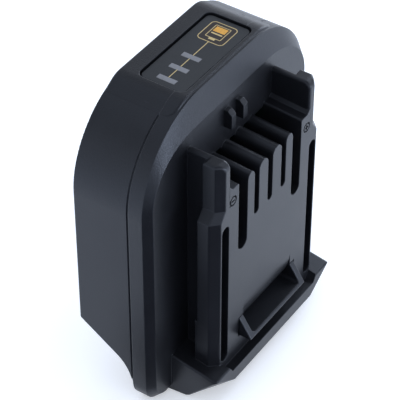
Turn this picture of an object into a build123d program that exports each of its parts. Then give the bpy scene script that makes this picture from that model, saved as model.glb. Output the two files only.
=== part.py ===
from build123d import *
import os
from math import cos, hypot, pi, sin

# Battery adapter for a cordless tool. The battery-style slide faces -Y, the terminal
# end and the charge gauge are up (+Z), and the open bay for the donor battery faces +Y.
# Millimetres. "Depth" (d) is measured from the flat front of the body towards +Y.

os.makedirs("parts", exist_ok=True)

# Overall size
overall_depth = 39.6
overall_height = 94.0
body_width = 76.4

# Shared walls and clearances
side_wall = 2.2
front_wall = 2.4
cut_over = 1.0
fuse_over = 0.5
slide_gap = 0.3
seat_gap = 0.05
part_gap = 0.1
edge_break = 0.35

# Body shape, in front view
shoulder_radius = 26.0
foot_corner = 7.0
pad_rise = 0.3
edge_chamfer = 2.05
band_fall = 8.0
band_top_half = 17.0
band_side_fall = 23.7
seam_depth = 6.6
seam_groove = 0.25
back_round = 0.5

# Slide that the tool's foot runs on
slide_standoff = 12.05
lip_reach = 2.8
rail_half_width = 25.6
rail_chamfer = 2.3
rail_round = 0.7
rail_thickness = 5.8
rail_boost = 0.8
boost_top = 27.2
neck_half_width = 20.9
plate_thickness = 2.2
rail_step_low = 63.2
rail_step_high = 66.2
upper_half_width = 23.2
upper_chamfer = 2.0
post_inner = 18.9
post_top = 81.2
post_brow = 2.2
post_break = 0.8
neck_wall = 2.7

# Slots and ribs at the terminal end of the slide
terminal_pitch = 6.5
narrow_slot = 2.3
narrow_bottom = 54.9
wide_slot = 4.3
wide_slot_x = 13.0
wide_bottom = 47.4
rib_top = 71.0
rib_rise = 0.9
rib_tip = 2.3
shoulder_top = 71.4
shoulder_notch = 0.9
head_bottom = 44.0
long_slot_x = 21.2
long_slot_width = 3.3
long_slot_low = 11.9
long_slot_high = 60.6
long_slot_depth = 4.8

# Small nibs on the body above the ribs
nib_width = 1.9
nib_proud = 2.5
nib_low = 76.9
nib_high = 82.5
nib_centres = (-3.1, 2.4)

# Lip below the slide
lip_top = 11.07
lip_rise = 2.85
lip_rim_low = 4.7
lip_heel_low = 0.9
lip_heel_out = 5.4
lip_ear = 3.5
lip_cut = 9.6
lip_round = 0.6
lip_step_half = 21.0
lip_step = 2.0

# Release latch
tab_half_width = 13.9
tab_arm = 2.0
tab_bar = 1.15
tab_low = 15.4
tab_high = 21.9
tab_proud = 3.9
tab_tip = 0.5
tab_round = 0.35
tab_inside = 0.9
scoop_top = 26.5
scoop_radius = 17.0
latch_base_half = 16.2
latch_base_low = 13.6
latch_base_high = 27.0
latch_base_thick = 2.2
paddle_half = 11.5
paddle_low = 1.2
paddle_top = 6.7
paddle_thick = 3.0
paddle_side_gap = 0.8
hollow_low = 12.6
foot_block = 9.5

# Latch springs and their retainer
spring_x = 9.0
spring_z = 22.5
spring_radius = 2.3
spring_wire = 0.6
spring_turns = 6
spring_post_radius = 1.6
spring_post = 1.6
retainer_thick = 1.5
retainer_lap = 2.4
retainer_top = 45.2
retainer_screw_x = 19.5
retainer_screw_z = 33.0

# Donor battery bay
side_depth = 7.1
bay_wall = 1.8
bay_floor = 1.9
bay_ceiling_drop = 30.0
rail_lip_reach = 3.5
rail_lip_thick = 3.5
bay_latch_half = 7.0
bay_latch_low = 15.5
bay_latch_high = 22.0
bay_latch_depth = 1.2

# Lower edge of the back shell, in side view
sole_z = 6.8
knee_depth = 10.9
knee_z = 14.8
knee_bulge_depth = 8.0
knee_bulge_z = 11.3
heel_z = 23.2

# Charge gauge
panel_half = 16.0
panel_front_margin = 4.5
panel_back_margin = 5.55
panel_recess = 0.5
panel_gap = 0.45
panel_corner = 1.7
panel_travel = 0.5
panel_flange = 1.1
panel_flange_thick = 1.6
pad_margin = 2.7
pad_slope = 5.0
pad_slope_fall = 2.9
pad_front = 2.5
pad_corner = 3.0
pad_edge = 0.8
pad_blend = 8.0
pad_sunk = 1.0
bar_centres = (-13.2, -7.8, -2.2)
bar_width = 1.7
bar_length = 5.5
guide_thick = 0.7
icon_x = 9.9

# Gauge board and its parts
board_thick = 1.6
gauge_board_drop = 3.6
gauge_board_end = 2.0
gauge_board_margin = 0.8
gauge_screw_gap = 4.3
pillar_radius = 2.0
led_length = 2.0
led_width = 1.2
led_height = 0.6
switch_size = 4.6
switch_height = 1.25
plunger_radius = 1.0
plunger_fit = 0.05
plunger_stick = 0.5
plunger_sunk = 0.5
nub_radius = 1.5
foam_width = 1.5
foam_length = 8.0

# Main board and its parts
board_gap = 0.5
board_half = 17.5
board_low = 46.6
board_top_drop = 9.6
board_screw_x = 15.2
board_screw_drop = 2.6
board_screw_low = 50.0
board_boss_radius = 2.0
chip_size = 8.0
chip_height = 1.2
chip_z = 58.0
capacitor_radius = 2.5
capacitor_length = 7.0
fuse_x = 8.0
fuse_width = 2.8
fuse_height = 6.4
fuse_thick = 1.9
parts_row_drop = 6.6

# Tool-side clips
clip_leaf = 0.45
clip_mouth_high = 65.2
clip_pinch_fall = 3.4
clip_lead_fall = 1.2
clip_low_rise = 1.6
clip_front = 9.6
clip_base = 1.0
clip_wall_gap = 0.35
clip_pinch_half = 0.3

# Donor-side terminal block
block_half = 16.8
block_depth = 7.1
block_forward = 0.9
block_low_drop = 1.5
block_high_rise = 8.0
block_flange = 1.4
block_flange_thick = 1.8
blade_x = 12.0
signal_blade_x = 4.0
blade_thick = 0.8
blade_depth = 5.6
blade_reach = 12.5
blade_tab = 3.0
signal_blade_depth = 4.2

# Wires
power_wire_radius = 1.1
signal_wire_radius = 0.5
wire_bend = 2.6
wire_rise = 3.2
ribbon_half = 5.0
ribbon_thick = 0.3
ribbon_bend = 1.2
ribbon_run = 2.4
ribbon_drop = 1.6

# Screws
screw_inset = 3.55
screw_low_z = 28.0
screw_high_x = 29.0
screw_high_drop = 18.0
screw_radius = 1.15
screw_pass = 1.35
screw_head_radius = 2.1
screw_head_thick = 1.9
screw_head_depth = 12.0
screw_tip_depth = 3.6
screw_boss_radius = 3.3
driver_radius = 2.35
cross_width = 0.7
cross_reach = 1.3
cross_depth = 0.9
small_screw_radius = 0.8
small_head_radius = 1.6
small_head_thick = 1.1
small_screw_length = 3.0
small_pilot_gap = 0.05

# Polarity marks on the slide
mark_x = 17.8
mark_z = 67.3
mark_radius = 1.6
mark_line = 0.5
mark_deep = 0.4

# Places worked out from the sizes above
half_width = body_width / 2
arch_top = overall_height - pad_rise
back_y = overall_depth / 2
slide_y = max(tab_proud, lip_reach) - overall_depth / 2
face_y = slide_y + slide_standoff
body_depth = back_y - face_y
plate_back = plate_thickness - slide_standoff
rail_back = rail_thickness - slide_standoff
hollow_half = neck_half_width - neck_wall
ceiling_z = arch_top - side_wall
bay_half = half_width - side_depth
bay_top = overall_height - bay_ceiling_drop
bay_front = seam_depth + bay_floor
lip_front = -slide_standoff - lip_reach
panel_back = body_depth - panel_back_margin
panel_mid = (panel_front_margin + panel_back) / 2
panel_top = overall_height - panel_recess
flange_top = ceiling_z - part_gap
flange_low = flange_top - panel_flange_thick
gauge_board_top = ceiling_z - gauge_board_drop
gauge_board_low = gauge_board_top - board_thick
gauge_screw_x = panel_half + gauge_screw_gap
gauge_board_half = gauge_screw_x + gauge_board_end
board_front = front_wall + board_gap
board_back = board_front + board_thick
board_top = overall_height - board_top_drop
parts_row_z = board_top - parts_row_drop
latch_base_front = plate_back + slide_gap
latch_base_back = latch_base_front + latch_base_thick
blade_low = bay_top - blade_reach
block_front = (bay_front + body_depth - side_wall - block_depth) / 2 - block_forward
block_high = bay_top + block_high_rise
blade_high = block_high + blade_tab
block_mid = block_front + block_depth / 2
screw_low_x = half_width - screw_inset
screw_high_z = overall_height - screw_high_drop


def block(x_low, x_high, d_low, d_high, z_low, z_high):
    """Box between two x, two depths behind the body's front and two heights."""
    middle = ((x_low + x_high) / 2, face_y + (d_low + d_high) / 2, (z_low + z_high) / 2)
    return Pos(*middle) * Box(x_high - x_low, d_high - d_low, z_high - z_low)


def slab(face, d_low, d_high):
    """Front-view face, x across and z up, made solid between two depths."""
    plane = Plane(origin=(0, face_y + d_high, 0), x_dir=(1, 0, 0), z_dir=(0, -1, 0))
    return extrude(plane * face, amount=d_high - d_low, dir=(0, -1, 0))


def side_prism(face, x_low, x_high):
    """Side-view face, depth across and z up, made solid between two x."""
    plane = Plane(origin=(x_low, face_y, 0), x_dir=(0, 1, 0), z_dir=(1, 0, 0))
    return extrude(plane * face, amount=x_high - x_low, dir=(1, 0, 0))


def rising_slab(face, d_low, d_high, rise):
    """Front-view face made solid between two depths, gaining height towards the back."""
    plane = Plane(origin=(0, face_y + d_low, 0), x_dir=(1, 0, 0), z_dir=(0, -1, 0))
    length = hypot(d_high - d_low, rise)
    return extrude(plane * face, amount=length, dir=(0, d_high - d_low, rise))


def plan_prism(face, z_low, z_high):
    """Plan face, x across and depth up the page, made solid between two heights."""
    return extrude(Pos(0, face_y, z_low) * face, amount=z_high - z_low, dir=(0, 0, 1))


def rect(u_low, u_high, v_low, v_high):
    """Flat rectangle between two values of each of a view's two axes."""
    return Pos((u_low + u_high) / 2, (v_low + v_high) / 2) * Rectangle(u_high - u_low, v_high - v_low)


def both(piece):
    """The piece and its mirror image across the middle plane."""
    return piece + mirror(piece, about=Plane.YZ)


def rod(x, z, radius, d_low, d_high):
    """Round bar along the depth at one x and z."""
    return slab(Pos(x, z) * Circle(radius), d_low, d_high)


def post(x, d, radius, z_low, z_high):
    """Round bar upright at one x and depth."""
    return plan_prism(Pos(x, d) * Circle(radius), z_low, z_high)


def arch_face(inset):
    """Body outline drawn in by an inset: foot, round corners, sides, round shoulders, top."""
    half = half_width - inset
    radius = shoulder_radius - inset
    corner = foot_corner - inset
    top = arch_top - inset
    foot = Line((corner - half, inset), (half - corner, inset))
    right = CenterArc((half - corner, inset + corner), corner, 270, 90)
    right += Line((half, inset + corner), (half, top - radius))
    right += CenterArc((half - radius, top - radius), radius, 0, 90)
    head = Line((half - radius, top), (radius - half, top))
    left = CenterArc((radius - half, top - radius), radius, 90, 90)
    left += Line((-half, top - radius), (-half, inset + corner))
    left += CenterArc((corner - half, inset + corner), corner, 180, 90)
    return make_face(foot + right + head + left)


def front_face():
    """Outline of the flat front, inside the chamfer that widens to a band over the shoulders."""
    half = half_width - edge_chamfer
    corner = foot_corner - edge_chamfer
    top = arch_top - band_fall
    bend_x = half - band_top_half
    bend_z = band_side_fall - band_fall
    foot = Line((corner - half, edge_chamfer), (half - corner, edge_chamfer))
    right = CenterArc((half - corner, edge_chamfer + corner), corner, 270, 90)
    right += Line((half, edge_chamfer + corner), (half, top - bend_z))
    right += EllipticalCenterArc((band_top_half, top - bend_z), bend_x, bend_z, start_angle=0, arc_size=90)
    head = Line((band_top_half, top), (-band_top_half, top))
    left = EllipticalCenterArc((-band_top_half, top - bend_z), bend_x, bend_z, start_angle=90, arc_size=90)
    left += Line((-half, top - bend_z), (-half, edge_chamfer + corner))
    left += CenterArc((corner - half, edge_chamfer + corner), corner, 180, 90)
    return make_face(foot + right + head + left)


def raised_pad():
    """Flat frame on top of the body that the charge gauge sits in, with sloping sides."""
    inner = panel_half + pad_margin
    outer = inner + pad_slope
    low = overall_height - pad_slope_fall
    foot = low - pad_sunk
    slope = Polygon(
        (-outer, foot),
        (-outer, low),
        (-inner, overall_height),
        (inner, overall_height),
        (outer, low),
        (outer, foot),
        align=None,
    )
    slope = fillet(slope.vertices().sort_by(Axis.Y)[-2:], pad_blend)
    plan = RectangleRounded(outer * 2, body_depth + pad_corner, pad_corner)
    plan = Pos(0, pad_front + (body_depth + pad_corner) / 2) * plan
    pad = slab(slope, pad_front, body_depth) & plan_prism(plan, foot, overall_height)
    brow = pad.edges().filter_by(lambda edge: edge.center().Z > low)
    return fillet(brow.filter_by(Axis.Z, reverse=True).filter_by(Axis.Y, reverse=True), pad_edge)


def panel_plan(grow, corner):
    """Plan of the gauge panel, grown all round by some gap or flange."""
    length = panel_half + grow
    width = panel_back - panel_front_margin + grow * 2
    return Pos(0, panel_mid) * RectangleRounded(length * 2, width, corner)


def panel_opening():
    """Cut for the gauge panel and, under the ceiling, for its flange."""
    corner = panel_corner + panel_gap
    opening = plan_prism(panel_plan(panel_gap, corner), ceiling_z - cut_over, overall_height)
    seat = panel_plan(panel_flange + panel_gap, corner)
    return opening + plan_prism(seat, flange_low - panel_travel, ceiling_z)


def rail_plan(half, chamfer):
    """Plan of the rails at one height: flat front with chamfered edges."""
    front = -slide_standoff
    right = [(half - chamfer, front), (half, front + chamfer), (half, rail_back)]
    left = [(-x, d) for x, d in reversed(right)]
    plan = Polygon(*right, *left, align=None)
    return fillet(plan.vertices().sort_by(Axis.Y)[:4], rail_round)


def rails():
    """Lower rails, the sloping step above them and the narrower upper rails."""
    lower = plan_prism(rail_plan(rail_half_width, rail_chamfer), lip_top - fuse_over, rail_step_low)
    step_foot = Pos(0, face_y, rail_step_low) * rail_plan(rail_half_width, rail_chamfer)
    step_head = Pos(0, face_y, rail_step_high) * rail_plan(upper_half_width, upper_chamfer)
    step = loft([step_foot, step_head], ruled=True)
    boost = block(neck_half_width, rail_half_width, rail_back, rail_back + rail_boost, lip_top, boost_top)
    return lower + step + both(boost)


def upper_post():
    """Wall at the right of the terminal space, from the slide's front back to the body."""
    front = -slide_standoff
    plan = Polygon(
        (post_inner, fuse_over),
        (post_inner, front),
        (upper_half_width - upper_chamfer, front),
        (upper_half_width, front + upper_chamfer),
        (upper_half_width, rail_back),
        (neck_half_width, rail_back),
        (neck_half_width, fuse_over),
        align=None,
    )
    outer = plan.vertices().sort_by(Axis.Y)[:3].sort_by(Axis.X)[1:]
    side = rect(front, fuse_over, rail_step_high - fuse_over, post_top)
    brow = side.vertices().group_by(Axis.Y)[-1].sort_by(Axis.X)[0]
    wall = plan_prism(fillet(outer, rail_round), rail_step_high - fuse_over, post_top)
    wall &= side_prism(fillet(brow, post_brow), post_inner, upper_half_width)
    rim = wall.edges().filter_by(lambda edge: edge.center().Z > post_top - post_brow)
    return fillet(rim.filter_by(lambda edge: edge.center().Y < face_y), post_break)


def terminal_head():
    """Solid top of the slide, before the slots are cut: ribs with rounded tips and two shoulders."""
    front = -slide_standoff
    lower = rect(-post_inner, post_inner, head_bottom, rib_top - rib_tip)
    head = rising_slab(lower, front, fuse_over, rib_rise)
    first_rib = (narrow_slot / 2, terminal_pitch - narrow_slot / 2)
    second_rib = (terminal_pitch + narrow_slot / 2, wide_slot_x - wide_slot / 2)
    for low_x, high_x in (first_rib, second_rib):
        tip = Pos((low_x + high_x) / 2, rib_top - rib_tip) * Ellipse((high_x - low_x) / 2, rib_tip)
        head += both(rising_slab(tip, front, fuse_over, rib_rise))
    edge = wide_slot_x + wide_slot / 2
    shoulder = Polygon(
        (edge, rib_top - rib_tip - fuse_over),
        (edge, shoulder_top - edge_break),
        (edge + edge_break, shoulder_top),
        (post_inner - shoulder_notch, shoulder_top),
        (post_inner + fuse_over, shoulder_top + shoulder_notch + fuse_over),
        (post_inner + fuse_over, rib_top - rib_tip - fuse_over),
        align=None,
    )
    return head + both(rising_slab(shoulder, front, fuse_over, rib_rise))


def terminal_slots():
    """Cuts between the ribs, open at the top and back to the circuit board."""
    d_low = -slide_standoff - cut_over
    d_high = front_wall + cut_over
    cuts = []
    for x, width, low in (
        (0, narrow_slot, narrow_bottom),
        (terminal_pitch, narrow_slot, narrow_bottom),
        (-terminal_pitch, narrow_slot, narrow_bottom),
        (wide_slot_x, wide_slot, wide_bottom),
        (-wide_slot_x, wide_slot, wide_bottom),
    ):
        face = Pos(x, low + width / 2) * Circle(width / 2)
        face += rect(x - width / 2, x + width / 2, low + width / 2, rib_top)
        open_top = rect(x - width / 2, x + width / 2, low + width / 2, shoulder_top + rib_rise + cut_over)
        cuts.append(slab(face, d_low, d_high))
        cuts.append(slab(open_top, d_low, 0))
    return cuts


def long_slots():
    """Deep narrow pockets along both rails, open at the front."""
    height = long_slot_high - long_slot_low
    centre = (long_slot_x, (long_slot_high + long_slot_low) / 2)
    face = Pos(*centre) * SlotOverall(height, long_slot_width, rotation=90)
    return both(slab(face, -slide_standoff - cut_over, long_slot_depth - slide_standoff))


def lip():
    """Thumb lip below the slide: top that falls forward, rim in front, underside in two slopes."""
    ear = rail_half_width + lip_ear
    rim = ear - lip_cut
    heel = -lip_heel_out
    back = edge_chamfer
    root_top = lip_top + lip_rise
    faces = []

    def add(*points):
        places = [(x, face_y + d, z) for x, d, z in points]
        faces.append(Face(Wire.make_polygon([Vector(*place) for place in places], close=True)))

    def span(half_1, d_1, z_1, half_2, d_2, z_2):
        add((-half_1, d_1, z_1), (half_1, d_1, z_1), (half_2, d_2, z_2), (-half_2, d_2, z_2))

    span(ear, back, root_top, ear, lip_front, lip_top)
    span(ear, lip_front, lip_top, rim, lip_front, lip_rim_low)
    span(rim, lip_front, lip_rim_low, ear, heel, lip_heel_low)
    span(ear, heel, lip_heel_low, ear, back, 0)
    span(ear, back, 0, ear, back, root_top)
    for x, corner in ((ear, rim), (-ear, -rim)):
        add((x, lip_front, lip_top), (corner, lip_front, lip_rim_low), (x, heel, lip_heel_low))
        add((x, lip_front, lip_top), (x, heel, lip_heel_low), (x, back, 0), (x, back, root_top))
    wedge = Solid(Shell(faces))
    wedge = fillet(wedge.edges().filter_by(lambda edge: edge.center().Y < face_y + heel / 2), lip_round)
    step = Polygon(
        (-lip_step_half - lip_step, lip_top + cut_over),
        (-lip_step_half, lip_top - lip_step),
        (lip_step_half, lip_top - lip_step),
        (lip_step_half + lip_step, lip_top + cut_over),
        align=None,
    )
    return wedge - slab(step, lip_front - cut_over, -slide_standoff)


def scoop_cut(x_half):
    """Hollow above the latch bar: the plate rolls over inwards on a large radius."""
    front = -slide_standoff
    low = tab_low + tab_bar
    window = rect(front - tab_proud - cut_over, front + scoop_radius, low, scoop_top)
    roll = Pos(front + scoop_radius, scoop_top) * Circle(scoop_radius)
    cut = side_prism(window - roll, -x_half, x_half)
    corners = cut.edges().filter_by(Axis.Y).group_by(Axis.Z)[0]
    return fillet(corners, tab_inside)


def front_bosses():
    """Bosses on the inner side of the front wall, before their screw holes."""
    bosses = both(rod(screw_low_x, screw_low_z, screw_boss_radius, front_wall - fuse_over, seam_depth))
    bosses += both(rod(screw_high_x, screw_high_z, screw_boss_radius, front_wall - fuse_over, seam_depth))
    for x, z in board_screw_places():
        bosses += rod(x, z, board_boss_radius, front_wall - fuse_over, board_front)
    return bosses


def board_screw_places():
    """Places of the main board's three screws."""
    high = board_top - board_screw_drop
    return [(-board_screw_x, high), (board_screw_x, high), (0, board_screw_low)]


def make_front_housing():
    """Front shell with the slide, its lip and the terminal ribs, as one moulding."""
    plane = Plane(origin=(0, face_y, 0), x_dir=(1, 0, 0), z_dir=(0, -1, 0))
    deep = Plane(origin=(0, face_y + edge_chamfer, 0), x_dir=(1, 0, 0), z_dir=(0, -1, 0))
    shell = loft([plane * front_face(), deep * arch_face(0)], ruled=True)
    shell += slab(arch_face(0), edge_chamfer, seam_depth - seam_groove)
    shell += slab(arch_face(seam_groove), seam_depth - seam_groove - fuse_over, seam_depth)
    shell += raised_pad() & block(-half_width, half_width, 0, seam_depth, 0, overall_height)
    inside = slab(arch_face(side_wall), front_wall, seam_depth + cut_over)
    shell -= inside & block(-half_width, half_width, 0, body_depth, foot_block, overall_height)
    neck = block(-neck_half_width, neck_half_width, rail_back - fuse_over, fuse_over, lip_top, rail_step_high)
    shell += neck + rails() + terminal_head() + both(upper_post()) + lip()
    for centre in nib_centres:
        nib = Polygon(
            (fuse_over, nib_low),
            (-nib_proud, nib_low),
            (-nib_proud, nib_high - nib_proud / 2),
            (-nib_proud / 2, nib_high),
            (fuse_over, nib_high),
            align=None,
        )
        shell += side_prism(nib, centre - nib_width / 2, centre + nib_width / 2)
    shell += front_bosses()
    for cut in terminal_slots():
        shell -= cut
    shell -= long_slots()
    shell -= block(-hollow_half, hollow_half, plate_back, front_wall + cut_over, hollow_low, head_bottom)
    window_half = tab_half_width + slide_gap
    shell -= block(-window_half, window_half, -slide_standoff - cut_over, plate_back + cut_over,
                   tab_low - slide_gap, tab_high + slide_gap)
    shell -= scoop_cut(tab_half_width - tab_arm)
    pocket_half = paddle_half + paddle_side_gap
    shell -= block(-pocket_half, pocket_half, plate_back, 0, 0, hollow_low + cut_over)
    shell -= panel_opening() & block(-half_width, half_width, front_wall, seam_depth, 0, overall_height)
    for x, z in board_screw_places():
        shell -= rod(x, z, small_screw_radius + small_pilot_gap, board_back - small_screw_length, board_front)
    for x in (-retainer_screw_x, retainer_screw_x):
        tip = front_wall + retainer_thick - small_screw_length
        shell -= rod(x, retainer_screw_z, small_screw_radius + small_pilot_gap, tip, front_wall)
    pilot_low = screw_tip_depth - part_gap
    shell -= both(rod(screw_low_x, screw_low_z, screw_radius + seat_gap, pilot_low, seam_depth))
    shell -= both(rod(screw_high_x, screw_high_z, screw_radius + seat_gap, pilot_low, seam_depth))
    return shell - polarity_marks()


def polarity_marks():
    """Shallow engraved rings with a plus and a minus, beside the wide slots."""
    front = -slide_standoff
    ring = Circle(mark_radius) - Circle(mark_radius - mark_line)
    bar = Rectangle(mark_radius, mark_line)
    stem = Rectangle(mark_line, mark_radius)
    plus = Pos(mark_x, mark_z) * (ring + bar + stem)
    minus = Pos(-mark_x, mark_z) * (ring + bar)
    return slab(plus, front - cut_over, front + mark_deep) + slab(minus, front - cut_over, front + mark_deep)


def back_edge_cut():
    """Everything under the curved lower edge of the back shell."""
    far = body_depth + cut_over
    slope = (heel_z - knee_z) / (body_depth - knee_depth)
    curve = ThreePointArc((seam_depth, sole_z), (knee_bulge_depth, knee_bulge_z), (knee_depth, knee_z))
    curve += Line((knee_depth, knee_z), (far, heel_z + cut_over * slope))
    curve += Line((far, heel_z + cut_over * slope), (far, -cut_over))
    curve += Line((far, -cut_over), (seam_depth - cut_over, -cut_over))
    curve += Line((seam_depth - cut_over, -cut_over), (seam_depth - cut_over, sole_z))
    curve += Line((seam_depth - cut_over, sole_z), (seam_depth, sole_z))
    return side_prism(make_face(curve), -half_width - cut_over, half_width + cut_over)


def make_back_housing():
    """Back shell: closed head at the top, open bay with two rail grooves below."""
    shell = slab(arch_face(0), seam_depth + seam_groove, body_depth)
    shell = fillet(shell.faces().sort_by(Axis.Y)[-1].outer_wire().edges(), back_round)
    shell += slab(arch_face(seam_groove), seam_depth, seam_depth + seam_groove + fuse_over)
    shell += raised_pad() & block(-half_width, half_width, seam_depth, body_depth, 0, overall_height)
    head = slab(arch_face(side_wall), seam_depth - cut_over, body_depth - side_wall)
    shell -= head & block(-half_width, half_width, 0, body_depth, bay_top + side_wall, overall_height)
    lip_front_depth = body_depth - rail_lip_thick
    mouth = bay_half - rail_lip_reach
    shell -= block(-bay_half, bay_half, bay_front, lip_front_depth, -cut_over, bay_top)
    shell -= block(-mouth, mouth, lip_front_depth - cut_over, body_depth + cut_over, -cut_over, bay_top)
    core_low = screw_low_z + screw_boss_radius
    core = block(bay_half + bay_wall, half_width - side_wall, seam_depth - cut_over, lip_front_depth,
                 core_low, bay_top)
    shell -= both(core)
    shell -= block(-bay_latch_half, bay_latch_half, bay_front - bay_latch_depth, bay_front + cut_over,
                   bay_latch_low, bay_latch_high)
    bosses = rod(screw_high_x, screw_high_z, screw_boss_radius, seam_depth, body_depth - fuse_over)
    pillar = post(gauge_screw_x, panel_mid, pillar_radius, gauge_board_top, ceiling_z + fuse_over)
    shell += both(bosses + pillar)
    for x, z in ((screw_low_x, screw_low_z), (screw_high_x, screw_high_z)):
        shell -= both(rod(x, z, screw_pass, seam_depth - cut_over, screw_head_depth + cut_over))
        shell -= both(rod(x, z, driver_radius, screw_head_depth, body_depth + cut_over))
    pilot_top = gauge_board_low + small_screw_length
    pilot_radius = small_screw_radius + small_pilot_gap
    shell -= both(post(gauge_screw_x, panel_mid, pilot_radius, gauge_board_low, pilot_top))
    window_low = block_front - seat_gap
    window_high = block_front + block_depth + seat_gap
    shell -= block(-block_half - seat_gap, block_half + seat_gap, window_low, window_high,
                   bay_top - cut_over, bay_top + side_wall + cut_over)
    return shell - panel_opening() - back_edge_cut()


def make_gauge_panel():
    """Press plate of the charge gauge, with a flange under the housing and a nub over the switch."""
    panel = plan_prism(panel_plan(0, panel_corner), flange_low, panel_top)
    panel = chamfer(panel.faces().sort_by(Axis.Z)[-1].edges(), edge_break / 2)
    panel += plan_prism(panel_plan(panel_flange, panel_corner), flange_low, flange_top)
    for x in bar_centres:
        half = bar_width / 2 + seat_gap
        reach = bar_length / 2 + seat_gap
        panel -= block(x - half, x + half, panel_mid - reach, panel_mid + reach, flange_low, panel_top)
    return panel + post(icon_x, panel_mid, nub_radius, plunger_top() + seat_gap, flange_low + fuse_over)


def make_light_guide():
    """Clear guide under the panel whose three bars show in its windows."""
    low_x = bar_centres[0] - bar_width / 2 - seat_gap - edge_break
    high_x = bar_centres[-1] + bar_width
    reach = bar_length / 2 + edge_break
    guide = block(low_x, high_x, panel_mid - reach, panel_mid + reach, flange_low - guide_thick, flange_low)
    for x in bar_centres:
        guide += block(x - bar_width / 2, x + bar_width / 2, panel_mid - bar_length / 2,
                       panel_mid + bar_length / 2, flange_low - guide_thick, panel_top)
    return guide


def make_gauge_board():
    """Small board under the panel, screwed to two pillars of the back shell."""
    half = gauge_board_half
    reach_low = panel_front_margin + gauge_board_margin
    reach_high = panel_back - gauge_board_margin
    board = block(-half, half, reach_low, reach_high, gauge_board_low, gauge_board_top)
    board = chamfer(board.edges().filter_by(Axis.Z), board_thick)
    for x in (-gauge_screw_x, gauge_screw_x):
        board -= post(x, panel_mid, small_screw_radius + part_gap, gauge_board_low, gauge_board_top)
    return board


def make_gauge_leds():
    """Three lamps on the gauge board, one under each bar."""
    lamps = []
    for x in bar_centres:
        lamps.append(block(x - led_width / 2, x + led_width / 2, panel_mid - led_length / 2,
                           panel_mid + led_length / 2, gauge_board_top, gauge_board_top + led_height))
    return Compound(children=lamps)


def plunger_top():
    """Height of the switch plunger's top at rest."""
    return gauge_board_top + switch_height + plunger_stick


def make_switch_body():
    """Low square body of the press switch, with a round well for its plunger."""
    half = switch_size / 2
    body = block(icon_x - half, icon_x + half, panel_mid - half, panel_mid + half, gauge_board_top,
                 gauge_board_top + switch_height)
    body = chamfer(body.edges().filter_by(Axis.Z), edge_break)
    well_low = plunger_top() - plunger_stick - plunger_sunk - panel_travel - seat_gap
    return body - post(icon_x, panel_mid, plunger_radius + plunger_fit, well_low, plunger_top())


def make_switch_plunger():
    """Round plunger of the press switch."""
    low = plunger_top() - plunger_stick - plunger_sunk
    plunger = post(icon_x, panel_mid, plunger_radius, low, plunger_top())
    return chamfer(plunger.faces().sort_by(Axis.Z)[-1].edges(), plunger_fit * 2)


def make_panel_foams():
    """Two foam strips that hold the panel up against the housing."""
    strips = []
    for side in (-1, 1):
        centre = side * (panel_half + panel_flange - foam_width)
        strips.append(block(centre - foam_width / 2, centre + foam_width / 2, panel_mid - foam_length / 2,
                            panel_mid + foam_length / 2, gauge_board_top, flange_low))
    return Compound(children=strips)


def make_main_board():
    """Green circuit board behind the terminal slots."""
    board = block(-board_half, board_half, board_front, board_back, board_low, board_top)
    board = chamfer(board.edges().filter_by(Axis.Y), board_thick)
    for x, z in board_screw_places():
        board -= rod(x, z, small_screw_radius + part_gap, board_front, board_back)
    return board


def make_control_chip():
    """Square chip on the back of the main board."""
    half = chip_size / 2
    chip = block(-half, half, board_back, board_back + chip_height, chip_z - half, chip_z + half)
    return chamfer(chip.faces().sort_by(Axis.Y)[-1].edges(), edge_break)


def make_capacitor():
    """Round can that stands on the main board in the head."""
    can = rod(0, parts_row_z, capacitor_radius, board_back, board_back + capacitor_length)
    return chamfer(can.faces().sort_by(Axis.Y)[-1].edges(), edge_break)


def make_board_fuse():
    """Flat soldered fuse beside the capacitor."""
    fuse = block(-fuse_x - fuse_width / 2, -fuse_x + fuse_width / 2, board_back, board_back + fuse_thick,
                 parts_row_z - fuse_height / 2, parts_row_z + fuse_height / 2)
    return chamfer(fuse.faces().sort_by(Axis.Y)[-1].edges(), edge_break)


def clip(x, slot_width, slot_bottom):
    """Forked clip in one slot: two sprung leaves with a flared mouth, joined at the board."""
    outer = slot_width / 2 - clip_wall_gap
    low = slot_bottom + slot_width / 2 + clip_low_rise
    pinch = clip_mouth_high - clip_pinch_fall
    inner = outer - clip_leaf
    leaf = Polygon(
        (inner, low),
        (clip_pinch_half, pinch),
        (inner, clip_mouth_high),
        (outer, clip_mouth_high - clip_lead_fall / 2),
        (clip_pinch_half + clip_leaf, pinch - clip_lead_fall / 2),
        (outer, low),
        align=None,
    )
    fork = both(slab(leaf, -clip_front, board_front))
    base = block(-outer, outer, board_front - clip_base, board_front, low, pinch)
    return Pos(x, 0, 0) * (fork + base)


def make_power_clip(side):
    """Clip in one of the wide slots."""
    return clip(side * wide_slot_x, wide_slot, wide_bottom)


def make_signal_clips():
    """Clips in the three narrow slots."""
    clips = [clip(x, narrow_slot, narrow_bottom) for x in (-terminal_pitch, 0, terminal_pitch)]
    return Compound(children=clips)


def make_terminal_block():
    """Moulded block in the bay's ceiling that holds the donor-side blades."""
    d_high = block_front + block_depth
    body = block(-block_half, block_half, block_front, d_high, bay_top - block_low_drop, block_high)
    body = chamfer(body.edges().filter_by(Axis.Z), edge_break)
    foot = bay_top + side_wall
    body += block(-block_half - block_flange, block_half + block_flange, block_front - block_flange,
                  d_high + block_flange, foot, foot + block_flange_thick)
    half = blade_thick / 2 + seat_gap
    for x, depth in blade_places():
        reach = depth / 2 + seat_gap
        body -= block(x - half, x + half, block_mid - reach, block_mid + reach, bay_top - block_low_drop,
                      block_high)
    return body


def blade_places():
    """x and width of each donor-side blade."""
    power = [(-blade_x, blade_depth), (blade_x, blade_depth)]
    signal = [(-signal_blade_x, signal_blade_depth), (signal_blade_x, signal_blade_depth)]
    return power + signal


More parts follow.
